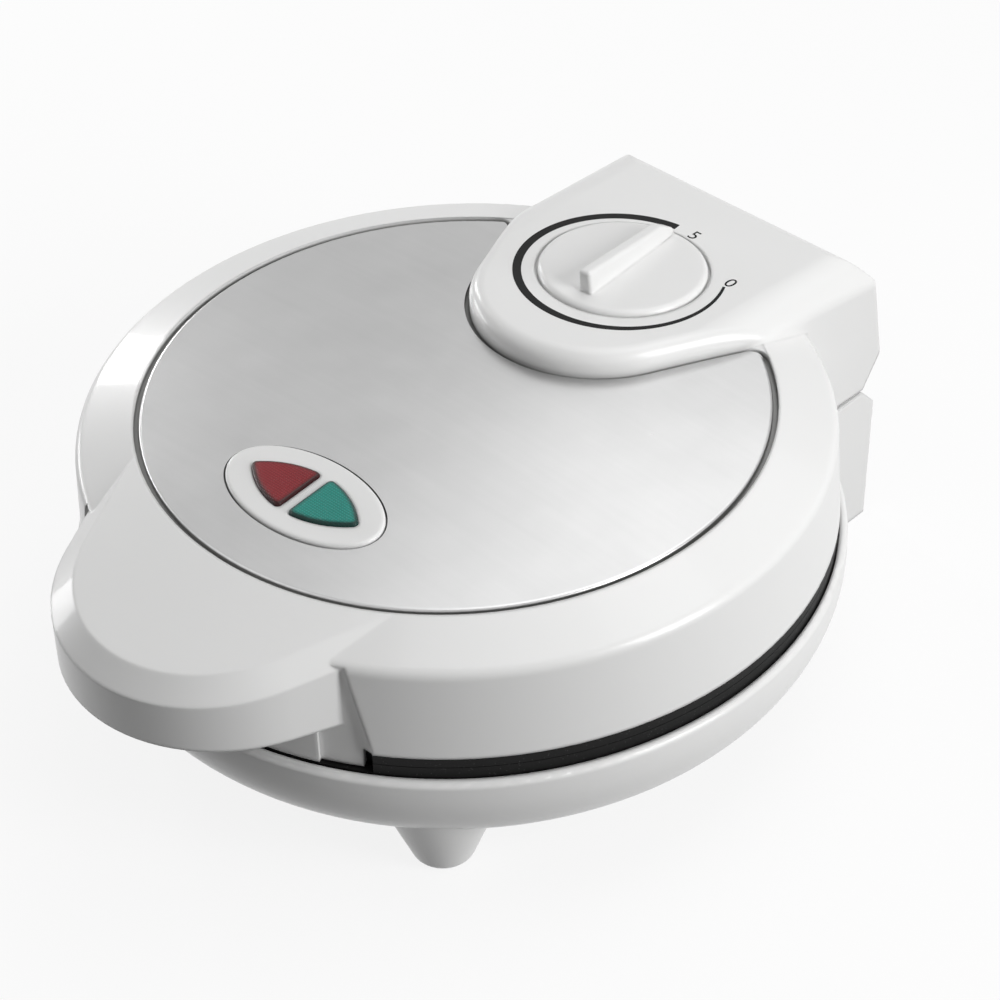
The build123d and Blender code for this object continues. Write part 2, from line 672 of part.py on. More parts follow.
# Cooking plates, one the mirror of the other
def cooking_plate(upward):
    """Cast plate with four quarter pockets; upward is -1 below and 1 above the meeting plane."""
    face = PLATE_MEET + upward * PLATE_GAP
    with BuildPart() as plate:
        with BuildSketch(level(face)):
            Circle(POCKET_R + PLATE_WALL)
        extrude(amount=upward * (POCKET_DEPTH + PLATE_WALL))
        with BuildSketch(level(face)):
            Circle(PLATE_R)
        extrude(amount=upward * RIM_HEIGHT)
        if upward < 0:
            with BuildSketch(level(face)):
                Circle(PLATE_R)
                Circle(PLATE_R - PLATE_WALL, mode=Mode.SUBTRACT)
            extrude(amount=-(face - LEDGE_Z))
        back = face + upward * (POCKET_DEPTH + PLATE_WALL)
        with BuildSketch(level(back)):
            with Locations(*(LOWER_POSTS if upward < 0 else UPPER_POSTS)):
                Circle(4.5)
        extrude(amount=upward * (abs(POST_TOP_Z - back) - 0.8 if upward < 0 else abs(LID_POST_Z - back) - 0.8))
        with BuildSketch(level(back + upward * 10)):
            with Locations(*(LOWER_POSTS if upward < 0 else UPPER_POSTS)):
                Circle(SCREW_R)
        extrude(amount=-upward * 11, mode=Mode.SUBTRACT)
        # quarter pockets with drafted walls
        for quarter in range(4):
            angle = quarter * math.pi / 2
            turn = Plane(origin=(0, AXIS_Y, face), x_dir=(math.cos(angle), math.sin(angle), 0), z_dir=(0, 0, 1))
            with BuildSketch(turn) as pocket:
                Circle(POCKET_R)
                with Locations((POCKET_MARGIN + 100, POCKET_MARGIN + 100)):
                    Rectangle(200, 200, mode=Mode.INTERSECT)
                fillet(pocket.vertices(), POCKET_CORNER)
            extrude(amount=upward * POCKET_DEPTH, taper=12, mode=Mode.SUBTRACT)
        # the rims keep clear of the apron at the front
        with BuildPart(mode=Mode.PRIVATE) as front_relief:
            with BuildSketch(level(APRON_BOTTOM - 0.5)):
                Circle(PLATE_R + 1)
                Circle(APRON_R - LID_WALL - 0.5, mode=Mode.SUBTRACT)
                with BuildLine():
                    Polyline((0, 0), polar(200, -APRON_ANGLE - 1.5), polar(200, APRON_ANGLE + 1.5), close=True)
                make_face(mode=Mode.INTERSECT)
            extrude(amount=12)
        add(front_relief.part, mode=Mode.SUBTRACT)
    return plate.part


write(cooking_plate(-1), "lower_plate")
write(cooking_plate(1), "upper_plate")


# Heating elements, their straps and the heat shields
ELEMENT_R = 72.0
TUBE_R = 3.25
LEG_X = 12.0
LEG_END = 98.0
STRAP_ANGLES = (35, 145, 215, 325)


def element(z):
    """Almost full ring of tube with two straight legs to the rear."""
    entry_y = math.sqrt(ELEMENT_R**2 - LEG_X**2)
    start = math.degrees(math.atan2(entry_y, LEG_X))
    with BuildPart() as tube:
        with BuildLine(level(z)) as path:
            CenterArc((0, 0), ELEMENT_R, 180 - start, 180 + 2 * start)
            Line((-LEG_X, entry_y), (-LEG_X, LEG_END))
            Line((LEG_X, entry_y), (LEG_X, LEG_END))
            fillet(path.vertices().filter_by(lambda v: abs(v.Y - AXIS_Y - entry_y) < 0.1), 8)
        with BuildSketch(Plane(origin=(LEG_X, AXIS_Y + LEG_END, z), x_dir=(1, 0, 0), z_dir=(0, 1, 0))):
            Circle(TUBE_R)
        sweep(path=path.wire())
    return tube.part


def straps(z, back):
    """Sheet straps over the tube, their feet flat on the plate at height back."""
    upward = 1 if back < z else -1
    with BuildPart() as group:
        for angle in STRAP_ANGLES:
            spot = polar(ELEMENT_R, angle)
            along = polar(1, angle + 90)
            section = Plane(
                origin=(spot[0], AXIS_Y + spot[1], z), x_dir=(-along[1], along[0], 0), z_dir=(along[0], along[1], 0)
            )
            with BuildSketch(section):
                Circle(TUBE_R + 0.95)
                with Locations((0, -upward * (TUBE_R - 0.4))):
                    Rectangle(20, 0.8)
                Circle(TUBE_R + 0.15, mode=Mode.SUBTRACT)
                with Locations((0, -upward * (TUBE_R + 5))):
                    Rectangle(30, 10, mode=Mode.SUBTRACT)
            extrude(amount=4, both=True)
    return group.part


def heat_shield(z, upward, posts):
    """Shallow dish of sheet steel, its rim turned towards the plate."""
    with BuildPart() as dish:
        with BuildSketch(level(z)):
            Circle(104)
        extrude(amount=upward * 6.5)
        with BuildSketch(level(z + upward * 0.6)):
            Circle(103.4)
        extrude(amount=upward * 8, mode=Mode.SUBTRACT)
        with BuildSketch(level(z)):
            with Locations(*posts):
                Circle(SCREW_R + 0.4)
            with Locations((0, 96)):
                Rectangle(40, 24)
        extrude(amount=upward * 8, mode=Mode.SUBTRACT)
    return dish.part


LOWER_BACK = PLATE_MEET - PLATE_GAP - POCKET_DEPTH - PLATE_WALL
UPPER_BACK = PLATE_MEET + PLATE_GAP + POCKET_DEPTH + PLATE_WALL
write(element(LOWER_BACK - TUBE_R - 0.05), "lower_element")
write(element(UPPER_BACK + TUBE_R + 0.05), "upper_element")
write(straps(LOWER_BACK - TUBE_R - 0.05, LOWER_BACK), "lower_element_straps")
write(straps(UPPER_BACK + TUBE_R + 0.05, UPPER_BACK), "upper_element_straps")
write(heat_shield(POST_TOP_Z + 0.1, 1, LOWER_POSTS), "lower_heat_shield")
write(heat_shield(LID_POST_Z - 0.1, -1, UPPER_POSTS), "upper_heat_shield")


# Screws up through the base and down through the lid's deck
SCREW_HEAD_Z = BOWL_BOTTOM + 9
lower_heads = [
    Plane(origin=(x, AXIS_Y + y, SCREW_HEAD_Z), x_dir=(1, 0, 0), z_dir=(0, 0, -1)) for x, y in LOWER_POSTS
]
upper_heads = [Plane(origin=(x, AXIS_Y + y, LID_HEAD_Z), x_dir=(1, 0, 0), z_dir=(0, 0, 1)) for x, y in UPPER_POSTS]
write(screws(lower_heads, 11, 2.2), "base_screws")
write(screws(upper_heads, 15, 2.2), "lid_screws")


# Hinge pins
with BuildPart() as hinge_pins:
    for side in (-1, 1):
        pin_end = (side * PIN_INNER, AXIS_Y + PIVOT_Y, PIVOT_Z)
        pin_plane = Plane(origin=pin_end, x_dir=(0, 1, 0), z_dir=(side, 0, 0))
        with BuildSketch(pin_plane):
            Circle(PIN_R)
        extrude(amount=PIN_OUTER - PIN_INNER)
        with BuildSketch(pin_plane):
            Circle(3.2)
        extrude(amount=-1.2)
write(hinge_pins.part, "hinge_pins")


# Knob and spindle
def pointer_plane(depth):
    """Plane depth above the dial face, its x axis along the knob's grip bar."""
    return dial_plane(depth).rotated((0, 0, POINTER_ANGLE))


def spindle_end(play):
    """Round shank and flattened end of the spindle, as they sit in the knob, with play added."""
    with BuildPart() as end:
        with BuildSketch(dial_plane(-WELL_DEPTH - 1)):
            Circle(SPINDLE_R + play)
        extrude(amount=WELL_DEPTH + 1.2 + play)
        with BuildSketch(pointer_plane(-WELL_DEPTH)):
            Circle(SPINDLE_R + play)
            Rectangle(20, SPINDLE_FLAT + 2 * play, mode=Mode.INTERSECT)
        extrude(amount=WELL_DEPTH + FLAT_TOP + play)
    return end.part


with BuildPart() as thermostat_knob:
    with BuildSketch(dial_plane(-WELL_DEPTH + 0.3)):
        Circle(KNOB_R)
    extrude(amount=WELL_DEPTH - 0.3 + KNOB_RISE)
    fillet(thermostat_knob.faces().sort_by(Axis.Z)[-1].edges(), KNOB_SHOULDER)
    pointer = pointer_plane(0)
    with BuildPart(mode=Mode.PRIVATE) as bar:
        tail_foot = pointer.from_local_coords((-BAR_TAIL, 0, 0))
        tail = Plane(origin=tail_foot, x_dir=pointer.y_dir, z_dir=pointer.x_dir)
        with BuildSketch(tail):
            draft = math.degrees(math.atan((BAR_WIDTH - BAR_TOP_WIDTH) / 2 / BAR_HEIGHT))
            Trapezoid(BAR_WIDTH, BAR_HEIGHT, 90 - draft, align=(Align.CENTER, Align.MIN))
        extrude(amount=BAR_TAIL + BAR_TIP)
        with BuildSketch(Plane(origin=pointer.origin, x_dir=pointer.x_dir, z_dir=-pointer.y_dir)):
            with BuildLine():
                Polyline(
                    (-BAR_TAIL, 0), (BAR_TIP, 0), (BAR_TIP, KNOB_RISE + 0.6), (BAR_CREST, BAR_TIP_HEIGHT),
                    (-BAR_TAIL, BAR_HEIGHT), close=True,
                )
            make_face()
        extrude(amount=20, both=True, mode=Mode.INTERSECT)
        fillet(bar.edges().filter_by(lambda e: pointer.to_local_coords(e.center()).Z > KNOB_RISE + 0.7), 1.0)
    add(bar.part)
    add(spindle_end(0.02), mode=Mode.SUBTRACT)
write(thermostat_knob.part, "thermostat_knob")

with BuildPart() as thermostat_spindle:
    with BuildSketch(dial_plane(-13)):
        Circle(SPINDLE_R)
    extrude(amount=12)
    add(spindle_end(0))
write(thermostat_spindle.part, "thermostat_spindle")


# Thermostat under the dial
with BuildPart() as thermostat_bracket:
    with BuildSketch(dial_plane(-5.8)):
        RectangleRounded(44, 26, 4)
        Circle(4.7, mode=Mode.SUBTRACT)
        with Locations((-17, 0), (17, 0)):
            Circle(1.8, mode=Mode.SUBTRACT)
    extrude(amount=1.5)
write(thermostat_bracket.part, "thermostat_bracket")

with BuildPart() as thermostat_body:
    with BuildSketch(dial_plane(-18)):
        RectangleRounded(24, 30, 2)
    extrude(amount=12.1)
    with BuildSketch(dial_plane(-6)):
        Circle(4.5)
    extrude(amount=1.7)
    with BuildSketch(dial_plane(-14)):
        Circle(SPINDLE_R + 0.05)
    extrude(amount=12, mode=Mode.SUBTRACT)
write(thermostat_body.part, "thermostat_body")

with BuildPart() as thermal_fuse:
    with BuildSketch(Plane(origin=(-40, AXIS_Y + 30, LID_POST_Z + 2.3), x_dir=(0, 1, 0), z_dir=(1, 0, 0))):
        Circle(2.2)
    extrude(amount=14)
write(thermal_fuse.part, "thermal_fuse")


# Wiring block, cord bushing and cord clamp in the rear post
with BuildPart() as terminal_block:
    with BuildSketch(level(WALL)):
        with Locations((0, 114)):
            RectangleRounded(34, 10, 1.5)
    extrude(amount=13)
    with BuildSketch(level(WALL + 4)):
        with Locations((-11, 114), (0, 114), (11, 114)):
            Circle(2.2)
    extrude(amount=12, mode=Mode.SUBTRACT)
write(terminal_block.part, "terminal_block")

with BuildPart() as cord_bushing:
    with BuildSketch(SIDE):
        with BuildLine():
            Polyline(
                (129.4, CORD_Z + 3.4), (129.4, CORD_Z + 6.8), (131.5, CORD_Z + 6.8), (131.5, CORD_Z + 5.5),
                (135.3, CORD_Z + 5.5), (135.3, CORD_Z + 7.2), (136.3, CORD_Z + 7.2),
                (137.6, CORD_Z + 5.4), (137.6, CORD_Z + 3.4),
                close=True,
            )
        make_face()
    revolve(axis=Axis((0, AXIS_Y, CORD_Z), (0, 1, 0)))
write(cord_bushing.part, "cord_bushing")

with BuildPart() as cord_clamp:
    with BuildSketch(level(WALL + 16.6)):
        with Locations((0, 124)):
            RectangleRounded(28, 7, 2)
    extrude(amount=4.5)
    with BuildSketch(Plane(origin=(0, AXIS_Y + 110, CORD_Z), x_dir=(-1, 0, 0), z_dir=(0, 1, 0))):
        Circle(3.4)
    extrude(amount=30, mode=Mode.SUBTRACT)
write(cord_clamp.part, "cord_clamp")
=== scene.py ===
import json
import math

import bmesh
import bpy
from mathutils import Matrix, Vector


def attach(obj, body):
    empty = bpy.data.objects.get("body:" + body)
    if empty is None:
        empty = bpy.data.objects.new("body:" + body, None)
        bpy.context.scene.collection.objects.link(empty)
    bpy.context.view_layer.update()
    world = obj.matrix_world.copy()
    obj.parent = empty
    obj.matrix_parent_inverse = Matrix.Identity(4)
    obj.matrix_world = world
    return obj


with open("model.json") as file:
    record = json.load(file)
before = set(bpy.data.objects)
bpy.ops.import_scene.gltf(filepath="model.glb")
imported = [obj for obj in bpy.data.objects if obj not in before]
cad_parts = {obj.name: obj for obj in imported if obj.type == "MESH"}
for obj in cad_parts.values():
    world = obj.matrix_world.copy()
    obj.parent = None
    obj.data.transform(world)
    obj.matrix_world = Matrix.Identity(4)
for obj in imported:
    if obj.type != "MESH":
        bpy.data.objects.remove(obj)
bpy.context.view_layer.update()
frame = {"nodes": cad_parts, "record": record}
print("frame loaded:", len(frame["nodes"]), "nodes")

mm = 0.001
axisY = 3.3  # the round body's axis stands this far behind the origin, in mm
discEdgeZ = 95.5  # height of the steel cover's edge


# camera

cameraView = {
    "azimuth": 44.98,
    "elevation": 39.413,
    "roll": -2.4415,
    "distance": 1029.88,
    "panRight": 13.251,
    "panUp": -29.244,
    "lens": 124.79,
}


def cameraAxes(azimuth, elevation, roll):
    a, e, r = (math.radians(v) for v in (azimuth, elevation, roll))
    back = Vector((math.sin(a) * math.cos(e), -math.cos(a) * math.cos(e), math.sin(e)))
    right = (-back).cross(Vector((0, 0, 1))).normalized()
    up = right.cross(-back)
    turnedRight = math.cos(r) * right + math.sin(r) * up
    turnedUp = math.cos(r) * up - math.sin(r) * right
    return turnedRight, turnedUp, back


def makeCamera(v):
    right, up, back = cameraAxes(v["azimuth"], v["elevation"], v["roll"])
    aim = Vector((0, axisY, discEdgeZ))
    place = (aim + back * v["distance"] + right * v["panRight"] + up * v["panUp"]) * mm
    data = bpy.data.cameras.new("camera")
    data.lens = v["lens"]
    data.sensor_width = 36
    data.clip_start = 0.05
    data.clip_end = 20
    camera = bpy.data.objects.new("camera", data)
    turn = Matrix((right, up, back)).transposed().to_4x4()
    camera.matrix_world = Matrix.Translation(place) @ turn
    bpy.context.scene.collection.objects.link(camera)
    bpy.context.scene.camera = camera


makeCamera(cameraView)
print("camera set")


# small helpers for shader trees

def plug(tree, value, socket):
    if isinstance(value, bpy.types.NodeSocket):
        tree.links.new(value, socket)
    else:
        socket.default_value = value


def mixColour(tree, factor, first, second, blend="MIX"):
    node = tree.nodes.new("ShaderNodeMix")
    node.data_type = "RGBA"
    node.blend_type = blend
    for place, value in ((0, factor), (6, first), (7, second)):
        plug(tree, value, node.inputs[place])
    return node.outputs[2]


def calc(tree, operation, first, second=0.0):
    node = tree.nodes.new("ShaderNodeMath")
    node.operation = operation
    plug(tree, first, node.inputs[0])
    plug(tree, second, node.inputs[1])
    return node.outputs[0]


def spread(tree, value, low, high, newLow, newHigh):
    node = tree.nodes.new("ShaderNodeMapRange")
    numbers = {"Value": value, "From Min": low, "From Max": high, "To Min": newLow, "To Max": newHigh}
    for label, number in numbers.items():
        plug(tree, number, node.inputs[label])
    return node.outputs[0]


def noise(tree, vector, scale, detail=4.0, roughness=0.55):
    node = tree.nodes.new("ShaderNodeTexNoise")
    numbers = {"Vector": vector, "Scale": scale, "Detail": detail, "Roughness": roughness}
    for label, number in numbers.items():
        plug(tree, number, node.inputs[label])
    return node.outputs["Fac"]


def split(tree, vector):
    node = tree.nodes.new("ShaderNodeSeparateXYZ")
    plug(tree, vector, node.inputs[0])
    return node.outputs


def grey(tree, value):
    node = tree.nodes.new("ShaderNodeCombineColor")
    for channel in node.inputs:
        plug(tree, value, channel)
    return node.outputs[0]


# 1 where the camera sees a surface straight, by reflection or through glass
def seenByCamera(tree):
    rays = tree.nodes.new("ShaderNodeLightPath").outputs
    seen = calc(tree, "MAXIMUM", rays["Is Camera Ray"], rays["Is Glossy Ray"])
    return calc(tree, "MAXIMUM", seen, rays["Is Transmission Ray"])


def newGroup(name, inputs, outputs):
    group = bpy.data.node_groups.new(name, "ShaderNodeTree")
    for label, kind in inputs:
        group.interface.new_socket(label, in_out="INPUT", socket_type=kind)
    for label, kind in outputs:
        group.interface.new_socket(label, in_out="OUTPUT", socket_type=kind)
    return group, group.nodes.new("NodeGroupInput").outputs, group.nodes.new("NodeGroupOutput").inputs


floatKind, colourKind, vectorKind = "NodeSocketFloat", "NodeSocketColor", "NodeSocketVector"


surfaceNoise = {
    "cloudDetail": 5.0, "cloudRange": (0.15, 0.85),
    "patchScale": 3.7, "patchDetail": 3.0, "patchRange": (0.1, 0.9),  # scale against the clouds
    "grainDetail": 2.0, "grainRoughness": 0.7,
}


# cloudy tone, uneven gloss and a fine skin, used by every finish but the stage's
def makeSurfaceGroup(n):
    group, given, made = newGroup(
        "unevenSurface",
        [("Vector", vectorKind), ("Colour", colourKind), ("Cloud Scale", floatKind),
         ("Cloud Amount", floatKind), ("Roughness", floatKind), ("Gloss Spread", floatKind),
         ("Grain Scale", floatKind)],
        [("Colour", colourKind), ("Roughness", floatKind), ("Height", floatKind)],
    )
    cloud = noise(group, given["Vector"], given["Cloud Scale"], n["cloudDetail"])
    patchScale = calc(group, "MULTIPLY", given["Cloud Scale"], n["patchScale"])
    patches = noise(group, given["Vector"], patchScale, n["patchDetail"])
    grain = noise(group, given["Vector"], given["Grain Scale"], n["grainDetail"], n["grainRoughness"])
    darkest = calc(group, "SUBTRACT", 1.0, given["Cloud Amount"])
    shade = grey(group, spread(group, cloud, *n["cloudRange"], darkest, 1.0))
    plug(group, mixColour(group, 1.0, given["Colour"], shade, "MULTIPLY"), made["Colour"])
    swing = spread(group, patches, *n["patchRange"], -1.0, 1.0)
    rough = calc(group, "ADD", given["Roughness"], calc(group, "MULTIPLY", swing, given["Gloss Spread"]))
    plug(group, rough, made["Roughness"])
    plug(group, grain, made["Height"])
    return group


brushNoise = {
    "broadScale": 1.0, "broadDetail": 3.0, "broadRange": (0.15, 0.85),
    "fineScale": 6.0, "fineDetail": 2.0, "fineRoughness": 0.7,
}


# long fine scratches from rolling and brushing the sheet
def makeBrushGroup(n):
    group, given, made = newGroup(
        "brushedGrain",
        [("Vector", vectorKind), ("Along", floatKind), ("Across", floatKind)],
        [("Streaks", floatKind), ("Height", floatKind)],
    )
    parts = split(group, given["Vector"])
    joined = group.nodes.new("ShaderNodeCombineXYZ")
    plug(group, calc(group, "MULTIPLY", parts["X"], given["Along"]), joined.inputs["X"])
    plug(group, calc(group, "MULTIPLY", parts["Y"], given["Across"]), joined.inputs["Y"])
    plug(group, parts["Z"], joined.inputs["Z"])
    broad = noise(group, joined.outputs[0], n["broadScale"], n["broadDetail"])
    fine = noise(group, joined.outputs[0], n["fineScale"], n["fineDetail"], n["fineRoughness"])
    plug(group, spread(group, broad, *n["broadRange"], 0.0, 1.0), made["Streaks"])
    plug(group, fine, made["Height"])
    return group


# little bright flecks, as in a non-stick coat
def makeFleckGroup():
    group, given, made = newGroup(
        "flecks",
        [("Vector", vectorKind), ("Scale", floatKind), ("Share", floatKind)],
        [("Flecks", floatKind)],
    )
    cells = group.nodes.new("ShaderNodeTexVoronoi")
    plug(group, given["Vector"], cells.inputs["Vector"])
    plug(group, given["Scale"], cells.inputs["Scale"])
    dots = spread(group, cells.outputs["Distance"], 0.0, given["Share"], 1.0, 0.0)
    plug(group, dots, made["Flecks"])
    return group


# bounds of the painted shade at the bottom of the groove round the steel cover
paintedGrooveShadeBounds = {
    "depth": (0.0005, 0.0015),  # under the dome, where the groove's shade sets in
    "floor": (0.0030, 0.0035),  # and where it ends, under the deck
    "rim": (0.0959, 0.0961),  # distance of the ring's edge from the round axis
}


# mask of painted shade, 1 in the groove: under the cover's dome, above the deck's underside and inside
# the ring's edge
def makePaintedGrooveShadeGroup(n):
    group, given, made = newGroup(
        "paintedGrooveShade",
        [("Vector", vectorKind), ("Crown", floatKind), ("Dome", floatKind)],
        [("Painted Shade", floatKind)],
    )
    parts = split(group, given["Vector"])
    across = calc(group, "MULTIPLY", parts["X"], parts["X"])
    behind = calc(group, "SUBTRACT", parts["Y"], axisY * mm)
    square = calc(group, "ADD", across, calc(group, "MULTIPLY", behind, behind))
    fall = calc(group, "DIVIDE", square, calc(group, "MULTIPLY", 2.0, given["Dome"]))
    depth = calc(group, "SUBTRACT", calc(group, "SUBTRACT", given["Crown"], fall), parts["Z"])
    deep = spread(group, depth, *n["depth"], 0.0, 1.0)
    above = spread(group, depth, *n["floor"], 1.0, 0.0)
    inside = spread(group, square, *(r ** 2 for r in n["rim"]), 1.0, 0.0)
    plug(group, calc(group, "MULTIPLY", calc(group, "MULTIPLY", deep, above), inside), made["Painted Shade"])
    return group


surfaceGroup = makeSurfaceGroup(surfaceNoise)
paintedGrooveShadeGroup = makePaintedGrooveShadeGroup(paintedGrooveShadeBounds)
brushGroup = makeBrushGroup(brushNoise)
fleckGroup = makeFleckGroup()


def place(tree, group, values):
    node = tree.nodes.new("ShaderNodeGroup")
    node.node_tree = group
    for label, value in values.items():
        plug(tree, value, node.inputs[label])
    return node.outputs


print("shader groups made")


# finishes

def newFinish(name, look):
    material = bpy.data.materials.new(name)
    material.use_nodes = True
    tree = material.node_tree
    shader = tree.nodes["Principled BSDF"]
    shader.inputs["Metallic"].default_value = look.get("metallic", 0.0)
    shader.inputs["Coat Weight"].default_value = look.get("coat", 0.0)
    shader.inputs["Coat Roughness"].default_value = look.get("coatRoughness", 0.1)
    shader.inputs["IOR"].default_value = look.get("ior", 1.5)
    spot = tree.nodes.new("ShaderNodeTexCoord").outputs["Object"]
    surface = place(tree, surfaceGroup, {
        "Vector": spot,
        "Colour": (*look["colour"], 1.0),
        "Cloud Scale": look["cloudScale"],
        "Cloud Amount": look["cloudAmount"],
        "Roughness": look["roughness"],
        "Gloss Spread": look["glossSpread"],
        "Grain Scale": look["grainScale"],
    })
    return material, tree, shader, spot, surface


# normals as if the piece's edges were rounded
def roundedNormal(tree, radius, samples):
    node = tree.nodes.new("ShaderNodeBevel")
    node.samples = samples
    node.inputs["Radius"].default_value = radius
    return node.outputs[0]


edgeSamples = 6


def connect(tree, shader, colour, roughness, height, look):
    plug(tree, colour, shader.inputs["Base Color"])
    plug(tree, roughness, shader.inputs["Roughness"])
    bump = tree.nodes.new("ShaderNodeBump")
    if look.get("edge"):
        plug(tree, roundedNormal(tree, look["edge"], edgeSamples), bump.inputs["Normal"])
    bump.inputs["Strength"].default_value = look["bump"]
    bump.inputs["Distance"].default_value = look["bumpDepth"]
    plug(tree, height, bump.inputs["Height"])
    plug(tree, bump.outputs[0], shader.inputs["Normal"])


def makePlainFinish(name, look):
    material, tree, shader, _, surface = newFinish(name, look)
    connect(tree, shader, surface["Colour"], surface["Roughness"], surface["Height"], look)
    return material


# moulded casings: painted shade darkens the bottom of the narrow groove round the steel cover
def makeWhitePlastic(name, look):
    material, tree, shader, spot, surface = newFinish(name, look)
    grooveShade = place(tree, paintedGrooveShadeGroup, {"Vector": spot, "Crown": look["crown"], "Dome": look["dome"]})
    # the darker groove colour mixed in here is painted shade
    colour = mixColour(tree, grooveShade["Painted Shade"], surface["Colour"], (*look["paintedGrooveShadeColour"], 1.0))
    connect(tree, shader, colour, surface["Roughness"], surface["Height"], look)
    return material


whitePlasticLook = {
    "colour": (0.79, 0.79, 0.785), "roughness": 0.32, "coat": 0.25, "coatRoughness": 0.06, "ior": 1.4,
    "cloudScale": 22.0, "cloudAmount": 0.02, "glossSpread": 0.03, "grainScale": 900.0,
    "bump": 0.04, "bumpDepth": 0.00005, "edge": 0.0017,
    # the darker colour for the bottom of the groove is painted shade
    "crown": 0.0995, "dome": 1.111, "paintedGrooveShadeColour": (0.22, 0.22, 0.215),
}
steelSheetLook = {
    "colour": (0.46, 0.46, 0.46), "metallic": 1.0, "roughness": 0.30,
    "cloudScale": 26.0, "cloudAmount": 0.12, "glossSpread": 0.03, "grainScale": 1500.0,
    "along": 14.0, "across": 420.0, "streakDepth": 0.04, "bump": 0.05, "bumpDepth": 0.0001,
}
nonStickLook = {
    "colour": (0.006, 0.006, 0.006), "roughness": 0.5, "ior": 1.25,
    "cloudScale": 30.0, "cloudAmount": 0.3, "glossSpread": 0.08, "grainScale": 1800.0,
    "fleckScale": 900.0, "fleckShare": 0.16, "fleckColour": (0.10, 0.10, 0.10),
    "bump": 0.2, "bumpDepth": 0.0001,
}
zincLook = {
    "colour": (0.56, 0.57, 0.58), "metallic": 1.0, "roughness": 0.42,
    "cloudScale": 35.0, "cloudAmount": 0.15, "glossSpread": 0.08, "grainScale": 1200.0,
    "spangleScale": 160.0, "spangleShare": 0.18, "bump": 0.1, "bumpDepth": 0.0001,
}
lensLook = {
    "roughness": 0.2, "coat": 0.25, "coatRoughness": 0.03, "ior": 1.2,
    "cloudScale": 60.0, "cloudAmount": 0.25, "glossSpread": 0.04, "grainScale": 900.0,
    "pitch": 0.00085, "lineWidth": 0.45, "lineStrength": 0.8, "bump": 0.4, "bumpDepth": 0.0003,
    # the rim values set the painted shade round the lens's edge, in place of the dark reflection of its
    # rounded rim
    "edge": 0.0026, "rimSamples": 8, "paintedRimRange": (0.93, 0.999), "paintedRimShade": 0.25,
}


def makeSteelSheet(look):
    material, tree, shader, spot, surface = newFinish("satinSteelSheet", look)
    brushed = place(tree, brushGroup, {"Vector": spot, "Along": look["along"], "Across": look["across"]})
    streak = spread(tree, brushed["Streaks"], 0.0, 1.0, 1.0 - look["streakDepth"], 1.0)
    colour = mixColour(tree, 1.0, surface["Colour"], grey(tree, streak), "MULTIPLY")
    connect(tree, shader, colour, surface["Roughness"], brushed["Height"], look)
    return material


def makeNonStick(look):
    material, tree, shader, spot, surface = newFinish("nonStickCoat", look)
    sizes = {"Vector": spot, "Scale": look["fleckScale"], "Share": look["fleckShare"]}
    flecks = place(tree, fleckGroup, sizes)
    colour = mixColour(tree, flecks["Flecks"], surface["Colour"], (*look["fleckColour"], 1.0))
    connect(tree, shader, colour, surface["Roughness"], surface["Height"], look)
    return material


def makeZincSheet(look):
    material, tree, shader, spot, surface = newFinish("zincSheet", look)
    cells = tree.nodes.new("ShaderNodeTexVoronoi")
    plug(tree, spot, cells.inputs["Vector"])
    cells.inputs["Scale"].default_value = look["spangleScale"]
    colour = mixColour(tree, look["spangleShare"], surface["Colour"], cells.outputs["Color"], "OVERLAY")
    connect(tree, shader, colour, surface["Roughness"], surface["Height"], look)
    return material


# a lens moulded with a square grid of tiny prisms, with painted shade round its edge standing in for the
# dark reflection of its rounded rim
def makeLens(name, colour, deep, look):
    material, tree, shader, spot, surface = newFinish(name, {**look, "colour": colour})
    parts = split(tree, spot)
    ridges = []
    for axis in ("X", "Y"):
        count = calc(tree, "DIVIDE", parts[axis], look["pitch"])
        ridges.append(calc(tree, "PINGPONG", count, 0.5))
    grid = calc(tree, "MULTIPLY", 2.0, calc(tree, "MINIMUM", *ridges))
    lines = spread(tree, grid, 0.0, look["lineWidth"], look["lineStrength"], 0.0)
    turned = tree.nodes.new("ShaderNodeVectorTransform")
    turned.vector_type = "NORMAL"
    turned.convert_from = "WORLD"
    turned.convert_to = "OBJECT"
    plug(tree, roundedNormal(tree, look["edge"], look["rimSamples"]), turned.inputs[0])
    rim = spread(tree, split(tree, turned.outputs[0])["Z"], *look["paintedRimRange"], 1.0, 0.0)
    shade = mixColour(tree, lines, surface["Colour"], (*deep, 1.0))
    # painted shade round the rounded rim of the lens
    shade = mixColour(tree, rim, shade, (*(look["paintedRimShade"] * part for part in deep), 1.0))
    connect(tree, shader, shade, surface["Roughness"], grid, look)
    return material


lampGlassLook = {
    "colour": (0.9, 0.86, 0.8), "roughness": 0.05, "transmission": 0.8,
    "cloudScale": 80.0, "cloudAmount": 0.1, "glossSpread": 0.02, "grainScale": 700.0,
    "bump": 0.05, "bumpDepth": 0.0001,
}


def makeLampGlass(look):
    material = makePlainFinish("lampGlass", look)
    shader = material.node_tree.nodes["Principled BSDF"]
    shader.inputs["Transmission Weight"].default_value = look["transmission"]
    return material


def plainLook(colour, roughness, metallic=0.0, cloudAmount=0.12, bump=0.1):
    return {
        "colour": colour, "roughness": roughness, "metallic": metallic,
        "cloudScale": 40.0, "cloudAmount": cloudAmount, "glossSpread": 0.06, "grainScale": 1400.0,
        "bump": bump, "bumpDepth": 0.0002,
    }


rubberLook = plainLook((0.018, 0.018, 0.018), 0.65, 0.0, 0.25, 0.35)
inkLook = {**plainLook((0.012, 0.012, 0.012), 0.6, 0.0, 0.3, 0.05), "ior": 1.2}


